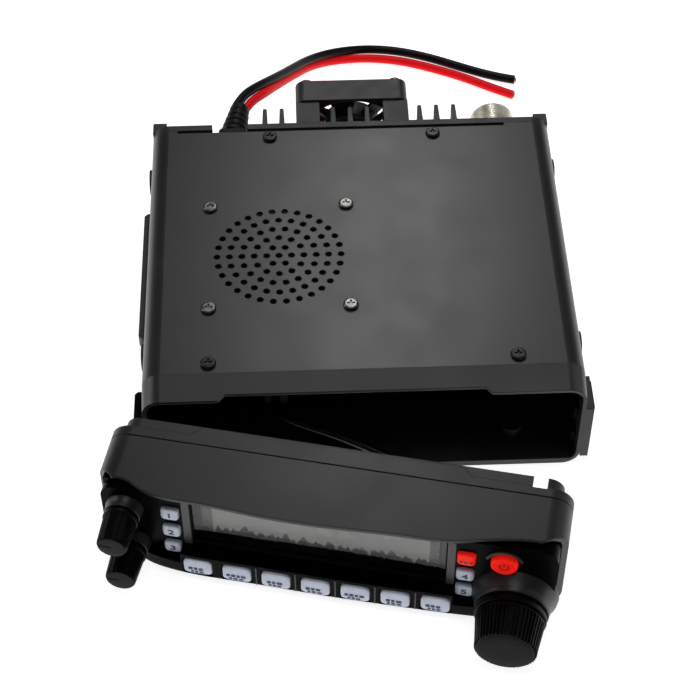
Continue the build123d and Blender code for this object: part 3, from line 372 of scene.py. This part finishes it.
def rounded(width, height, radius, steps=5):
    """The outline of a rounded rectangle about the origin."""
    outline = []
    for side_x, side_z, start in ((1, 1, 0), (-1, 1, 90), (-1, -1, 180), (1, -1, 270)):
        for i in range(steps + 1):
            turn = math.radians(start + 90 * i / steps)
            outline.append((side_x * (width / 2 - radius) + radius * math.cos(turn),
                            side_z * (height / 2 - radius) + radius * math.sin(turn)))
    return outline


def lathe(edit, x, z, profile, steps, shape=None):
    """A turned solid about a line along Y: profile is (radius, y), shape adds to a radius by turn and y."""
    rings = []
    for radius, y in profile:
        ring = []
        for i in range(steps):
            turn = 2 * math.pi * i / steps
            r = max(radius + (shape(turn, y, radius) if shape else 0.0), 0.02)
            ring.append((x + r * math.cos(turn), y, z + r * math.sin(turn)))
        rings.append(ring)
    loft(edit, rings)


# ---------------------------------------------------------------- keys

LEFT_KEY_X, RIGHT_KEY_X = -48.1, 42.4
LEFT_KEY_Z = (27.5, 18.9, 10.7)
HOME_KEY_Z, RIGHT_KEY_Z = 27.8, (19.6, 11.5)
KEY_BACK_Y, SIDE_KEY_Y = -16.4, -20.2
SIDE_KEY, HOME_KEY, FUNCTION_KEY = (5.6, 5.5), (5.6, 5.8), (9.1, 8.6)
FUNCTION_KEYS, FUNCTION_MID_X, FUNCTION_PITCH, FUNCTION_KEY_Z = 7, -2.7, 12.35, 6.4
LEDGE_Y, LEDGE_SAG = -23.8, 0.0005
KEY_WRAP = 0.13
MARK_SPREAD, MARK_FATTEN, MARK_DEPTH = 1.25, 1.15, 0.12


def ledge_y(x):
    return LEDGE_Y + LEDGE_SAG * (x + 2.0) ** 2


def wrapped(y, up):
    """The front of a function key bends back towards its lower edge."""
    return y + KEY_WRAP * max(0.0, -up - 1.2) ** 2


def keycap(name, x, z, size, front, material, wrap, corner=1.5):
    """A moulded keycap with soft corners and a slightly crowned front."""
    edit = bmesh.new()
    rings = []
    stations = ((KEY_BACK_Y, 0.0), (front + 0.9, 0.0), (front + 0.45, 0.07), (front + 0.15, 0.26),
                (front, 0.6), (front - 0.07, 1.2), (front - 0.10, 1.8))
    for y, inset in stations:
        outline = rounded(size[0] - 2 * inset, size[1] - 2 * inset, max(corner - inset, 0.35))
        bend = wrap and y < front + 0.8
        rings.append([(x + a, wrapped(y, b) if bend else y, z + b) for a, b in outline])
    loft(edit, rings)
    make_piece(name + "_cap", edit, material, name, HEAD, [name])


def key_bars(name, x, z, front, rows, material, wrap):
    """Plain marks printed on a key: each row is a height and the dashes' left ends and widths."""
    edit = bmesh.new()
    for up, tall, dashes in rows:
        for left, width in dashes:
            middle = x + MARK_SPREAD * (left + width / 2)
            rings = [[], []]
            for a, b in rounded(width * MARK_FATTEN, tall, min(width, tall) * 0.3, 2):
                y = wrapped(front, b + up) if wrap else front
                rings[0].append((middle + a, y + MARK_DEPTH, z + b + up))
                rings[1].append((middle + a, y - MARK_DEPTH, z + b + up))
            loft(edit, rings)
    make_piece(name + "_marks", edit, material, name, HEAD)


def key_numeral(name, x, z, front, digit):
    """A plain numeral on a key."""
    letter = bpy.data.curves.new(name + "_numeral", "FONT")
    letter.body, letter.size, letter.extrude = digit, 3.3 * MM, 0.05 * MM
    letter.offset = 0.08 * MM
    letter.align_x, letter.align_y = "CENTER", "CENTER"
    shape = bpy.data.objects.new("letter", letter)
    bpy.context.scene.collection.objects.link(shape)
    bpy.context.view_layer.update()
    mesh = bpy.data.meshes.new_from_object(shape.evaluated_get(bpy.context.evaluated_depsgraph_get()))
    bpy.data.objects.remove(shape)
    edit = bmesh.new()
    edit.from_mesh(mesh)
    bpy.data.meshes.remove(mesh)
    bmesh.ops.scale(edit, vec=(1000, 1000, 1000), verts=edit.verts)
    bmesh.ops.rotate(edit, matrix=Matrix.Rotation(math.pi / 2, 3, "X"), verts=edit.verts)
    bmesh.ops.scale(edit, vec=(1.25, 1, 0.95), verts=edit.verts)
    bmesh.ops.translate(edit, vec=(x, front - 0.12, z - 0.3), verts=edit.verts)
    make_piece(name + "_numeral", edit, INK, name, HEAD)


def make_keys():
    """Three keys left of the window, three right of it, and seven along the ledge."""
    white, red = MATERIALS["white_key"], MATERIALS["red_key"]
    places = [(LEFT_KEY_X, z) for z in LEFT_KEY_Z] + [(RIGHT_KEY_X, z) for z in RIGHT_KEY_Z]
    for number, (x, z) in enumerate(places, 1):
        name = f"memory_key_{number}"
        keycap(name, x, z, SIDE_KEY, SIDE_KEY_Y, white, False)
        key_numeral(name, x, z, SIDE_KEY_Y, str(number))
    keycap("home_key", RIGHT_KEY_X, HOME_KEY_Z, HOME_KEY, SIDE_KEY_Y, red, False)
    row = [(-0.9, 1.1, ((-1.6, 0.9), (-0.45, 0.9), (0.7, 0.9)))]
    key_bars("home_key", RIGHT_KEY_X, HOME_KEY_Z, SIDE_KEY_Y - 0.09, row, RED_INK, False)
    upper = (((-2.4, 1.2), (-1.0, 1.0), (0.2, 1.2)), ((-2.6, 1.0), (-1.4, 1.2), (0.0, 0.9), (1.1, 1.3)),
             ((-2.2, 1.1), (-0.9, 0.9), (0.2, 1.6)))
    lower = (((-1.8, 0.8), (-0.8, 0.9), (0.3, 1.2)), ((-2.0, 0.9), (-0.9, 1.2), (0.5, 1.3)))
    for i in range(FUNCTION_KEYS):
        x = FUNCTION_MID_X + (i - (FUNCTION_KEYS - 1) / 2) * FUNCTION_PITCH
        name, front = f"function_key_{i + 1}", ledge_y(x) - 0.6
        keycap(name, x, FUNCTION_KEY_Z, FUNCTION_KEY, front, white, True, 2.5)
        rows = [(-0.3, 1.15, upper[i % 3]), (-2.0, 1.0, lower[i % 2])]
        key_bars(name, x, FUNCTION_KEY_Z, front - 0.05, rows, INK, True)


# ---------------------------------------------------------------- knobs, dial and power button

VOLUME_XZ, SQUELCH_XZ = (-62.2, 27.0), (-61.2, 9.8)
DIAL_XZ, POWER_XZ = (57.5, 11.2), (53.7, 27.8)


def grooves(count, depth, start, stop, share):
    """A radius change that cuts grooves into a turned piece between two depths."""
    def shape(turn, y, radius):
        if not min(start, stop) <= y <= max(start, stop):
            return 0.0
        return -depth if turn * count / (2 * math.pi) % 1.0 < share else 0.0
    return shape


def make_dial():
    """The tuning dial: a plain base ring, a dark gap, a finely fluted skirt and a flat tip."""
    edit = bmesh.new()
    profile = [(9.9, -25.6), (10.8, -25.7), (10.95, -26.2), (10.95, -27.2), (10.7, -27.5), (9.7, -27.6),
               (9.7, -28.1), (10.5, -28.2), (10.45, -28.6)]
    profile += [(10.45 - 0.115 * i, -28.7 - i) for i in range(9)]
    profile += [(9.5, -37.4), (9.45, -38.2), (8.7, -38.62), (6.0, -38.65), (3.0, -38.7)]
    lathe(edit, *DIAL_XZ, profile, 288, grooves(48, 0.6, -28.65, -38.3, 0.5))
    make_piece("dial_knob_body", edit, MATERIALS["knob"], "dial_knob", HEAD, ["dial_knob"])
    edit = bmesh.new()
    lathe(edit, *DIAL_XZ, [(8.2, -38.3), (8.2, -38.72), (7.9, -38.8), (4.0, -38.85), (1.0, -38.85)], 96)
    make_piece("dial_knob_tip", edit, DIAL_CAP, "dial_knob", HEAD)


def make_small_knob(name, x, z):
    """A small tapered knob: collar, flutes in groups, and a pointer slot across one side of its tip."""
    edit = bmesh.new()
    profile = [(4.9, -23.4), (5.5, -23.5), (5.5, -24.7), (5.2, -25.0)]
    profile += [(5.2 - 0.05 * i, -25.1 - i) for i in range(9)]
    profile += [(4.7, -34.0), (4.3, -34.55), (4.0, -34.6), (2.0, -34.62)]

    def flutes(turn, y, radius):
        if not -34.2 <= y <= -25.05:
            return 0.0
        wave = turn * 30 / (2 * math.pi)
        return -0.38 if wave % 1.0 < 0.45 and int(wave) % 5 != 0 else 0.0

    lathe(edit, x, z, profile, 180, flutes)
    make_piece(name + "_body", edit, MATERIALS["knob"], name, HEAD, [name])
    edit = bmesh.new()
    mark = [(x - 3.9, z - 0.35), (x - 0.2, z - 0.35), (x - 0.2, z + 0.35), (x - 3.9, z + 0.35)]
    loft(edit, [[(a, -34.4, b) for a, b in mark], [(a, -34.72, b) for a, b in mark]])
    make_piece(name + "_pointer", edit, DIAL_CAP, name, HEAD)


def arc_strip(edit, x, z, radius, width, y0, y1, start, stop, steps=20):
    """A flat arc that stands out from the face, between two angles in degrees."""
    turns = [math.radians(start + (stop - start) * i / steps) for i in range(steps + 1)]
    rim = [(x + (radius + width / 2) * math.cos(t), z + (radius + width / 2) * math.sin(t)) for t in turns]
    rim += [(x + (radius - width / 2) * math.cos(t), z + (radius - width / 2) * math.sin(t))
            for t in reversed(turns)]
    loft(edit, [[(a, y0, b) for a, b in rim], [(a, y1, b) for a, b in rim]])


def make_power_button():
    """The round red button with a soft rim, a crowned front and the usual switch symbol."""
    (x, z), front = POWER_XZ, -20.5
    edit = bmesh.new()
    profile = [(4.1, KEY_BACK_Y), (4.1, front + 0.9), (3.95, front + 0.3), (3.6, front), (3.2, front - 0.02),
               (2.9, front + 0.18), (1.6, front + 0.04), (0.6, front)]
    lathe(edit, x, z, profile, 64)
    make_piece("power_button_cap", edit, MATERIALS["red_key"], "power_button", HEAD,
               ["power_button"])
    edit = bmesh.new()
    arc_strip(edit, x, z, 1.35, 0.42, front + 0.2, front - 0.06, -230, 50)
    bar = rounded(0.42, 1.7, 0.15, 2)
    loft(edit, [[(x + a, y, z + 0.9 + b) for a, b in bar] for y in (front + 0.2, front - 0.06)])
    make_piece("power_button_symbol", edit, RED_INK, "power_button", HEAD)


# ---------------------------------------------------------------- face details

def face_strip(edit, x, z, y0, y1, radius=0.4):
    """A raised bar on the face between the values given for x and z."""
    outline = rounded(x[1] - x[0], z[1] - z[0], radius, 3)
    mid_x, mid_z = (x[0] + x[1]) / 2, (z[0] + z[1]) / 2
    rings = [[(mid_x + a, y, mid_z + b) for a, b in outline] for y in (y0, y1 + 0.2)]
    rings.append([(mid_x + a * 0.94, y1, mid_z + b * 0.99) for a, b in outline])
    loft(edit, rings)


def make_face_details():
    """Grey bars beside the window, the arc over the power button, the ledge's ribs and the knobs' collars."""
    grey = simple("face_grey", (0.030, 0.031, 0.033), (0.045, 0.046, 0.048), (0.35, 0.45), 4, 0.4, 0.004)
    edit = bmesh.new()
    face_strip(edit, (-44.4, -41.9), (13.0, 34.6), -18.6, -19.5)
    face_strip(edit, (36.7, 39.2), (13.0, 34.6), -18.6, -19.5)
    arc_strip(edit, *POWER_XZ, 5.5, 0.8, -18.7, -19.5, 20, 165)
    make_piece("face_bars", edit, grey, "control_head", HEAD)
    edit = bmesh.new()
    face_strip(edit, (-69.3, -60.0), (27.0, 36.4), -12.0, -16.0, 1.0)
    make_piece("face_corner", edit, MATERIALS["gloss_face"], "control_head", HEAD)
    edit = bmesh.new()
    for x in (-8.9, -21.2, -33.6, 3.5, 15.8, 28.2):
        y = ledge_y(x)
        face_strip(edit, (x - 0.18, x + 0.18), (2.6, 11.6), y + 0.4, y - 0.25, 0.1)
    make_piece("ledge_ribs", edit, grey, "control_head", HEAD)
    collar = simple("collar", (0.012, 0.012, 0.0135), (0.020, 0.020, 0.022), (0.34, 0.42), 5, 0.4, 0.004)
    edit = bmesh.new()
    small = [(5.85, -16.5), (5.8, -20.2), (5.6, -20.6), (5.55, -22.6), (5.2, -22.95), (4.4, -23.0)]
    lathe(edit, *VOLUME_XZ, small, 72)
    lathe(edit, *SQUELCH_XZ, small, 72)
    large = [(13.6, -17.5), (13.2, -19.3), (12.1, -21.0), (11.5, -23.4), (11.3, -24.7), (10.9, -25.1),
             (9.0, -25.2)]
    lathe(edit, *DIAL_XZ, large, 96)
    for vert in edit.verts:
        vert.co.z = max(vert.co.z, 0.6)
    make_piece("knob_collars", edit, collar, "control_head", HEAD)


# ---------------------------------------------------------------- antenna socket

THREAD_R, THREAD_PITCH = 7.72, 1.06


def make_antenna():
    """The threaded shell of the antenna socket, its flange and its open mouth."""
    low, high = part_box("antenna_socket")
    x, tip, z = (low[0] + high[0]) / 2 / MM, high[1] / MM, (low[2] + high[2]) / 2 / MM
    edit = bmesh.new()
    profile = [(4.4, tip - 23.0), (6.2, tip - 22.9), (6.2, 63.2), (9.1, 63.2), (9.2, 63.6), (9.2, 64.6),
               (9.0, 64.9), (7.7, 65.0)]
    profile += [(THREAD_R, 65.2 + 0.14 * i) for i in range(int((tip - 0.8 - 65.2) / 0.14))]
    profile += [(7.5, tip - 0.5), (7.1, tip), (6.4, tip), (6.3, tip - 0.3), (6.3, 66.0), (4.4, 65.9)]

    def thread(turn, y, radius):
        if radius != THREAD_R:
            return 0.0
        return 0.42 * abs((y / THREAD_PITCH - turn / (2 * math.pi)) % 1.0 - 0.5) - 0.02

    lathe(edit, x, z, profile, 96, thread)
    make_piece("antenna_socket_shell", edit, MATERIALS["nickel"], "main_unit", None,
               ["antenna_socket"])


make_keys()
make_dial()
make_small_knob("volume_knob", *VOLUME_XZ)
make_small_knob("squelch_knob", *SQUELCH_XZ)
make_power_button()
make_face_details()
make_antenna()


# ---------------------------------------------------------------- cords

def nurbs(name, route):
    """A smooth open line with the route's points as its control points."""
    data = bpy.data.curves.new(name, "CURVE")
    data.dimensions = "3D"
    data.resolution_u = 24
    line = data.splines.new("NURBS")
    line.points.add(len(route) - 1)
    for point, place in zip(line.points, route):
        point.co = (*(Vector(place) * MM), 1)
    line.order_u = 3
    line.use_endpoint_u = True
    return data


def route_line(route):
    """Points close together along the route's smooth line."""
    curve = bpy.data.objects.new("line", nurbs("line", route))
    bpy.context.scene.collection.objects.link(curve)
    bpy.context.view_layer.update()
    mesh = bpy.data.meshes.new_from_object(curve.evaluated_get(bpy.context.evaluated_depsgraph_get()))
    points = [v.co.copy() for v in mesh.vertices]
    bpy.data.objects.remove(curve)
    bpy.data.meshes.remove(mesh)
    return points


def make_strands(name, end, along):
    """The cut copper strands that show in a lead's end."""
    side = along.cross(Vector((0, 0, 1))).normalized()
    up = side.cross(along)
    edit = bmesh.new()
    for ring, count in ((0.0, 1), (0.33, 6), (0.66, 12)):
        for i in range(count):
            turn = 2 * math.pi * i / count
            middle = end / MM + (side * math.cos(turn) + up * math.sin(turn)) * ring
            rings = []
            for reach in (-2.0, 0.35 + 0.1 * ((i * 3) % 4)):
                rings.append([middle + along * reach + (side * math.cos(k) + up * math.sin(k)) * 0.155
                              for k in (0, 1.05, 2.1, 3.15, 4.2, 5.25)])
            loft(edit, rings)
    return make_piece(name, edit, MATERIALS["gold_contact"], "main_unit")


def make_lead(name, route, slot):
    """A round insulated lead along its route, with bare strands in its cut end."""
    data = nurbs(name, route)
    data.bevel_depth = LEAD_R
    data.bevel_resolution = 7
    data.use_fill_caps = True
    lead = bpy.data.objects.new(name, data)
    bpy.context.scene.collection.objects.link(lead)
    data.materials.append(MATERIALS[slot])
    line = route_line(route)
    strands = make_strands(name + "_strands", line[-1], (line[-1] - line[-2]).normalized())
    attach(lead, "main_unit")
    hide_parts(name.replace("_wire", ""))


def make_control_cable():
    """The short cable between the unit and its head, a tube along its route."""
    line = route_line(CABLE_ROUTE)
    edit = bmesh.new()
    rings = []
    for i, point in enumerate(line):
        along = (line[min(i + 1, len(line) - 1)] - line[max(i - 1, 0)]).normalized()
        side = along.cross(Vector((0, 0, 1))).normalized()
        up = side.cross(along)
        rings.append([(point + (side * math.cos(t) + up * math.sin(t)) * CABLE_R) / MM
                      for t in (2 * math.pi * k / 20 for k in range(20))])
    loft(edit, rings)
    bmesh.ops.recalc_face_normals(edit, faces=edit.faces)
    bmesh.ops.scale(edit, vec=(MM, MM, MM), verts=edit.verts)
    mesh = bpy.data.meshes.new("control_cable_tube")
    edit.to_mesh(mesh)
    edit.free()
    mesh.shade_smooth()
    mesh.set_sharp_from_angle(angle=math.radians(50))
    mesh.materials.append(MATERIALS["black_cable"])
    cable = bpy.data.objects.new("control_cable_tube", mesh)
    bpy.context.scene.collection.objects.link(cable)
    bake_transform(cable)
    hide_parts("control_cable")


make_lead("power_lead_black_wire", BLACK_ROUTE, "black_lead")
make_lead("power_lead_red_wire", RED_ROUTE, "red_lead")
make_control_cable()
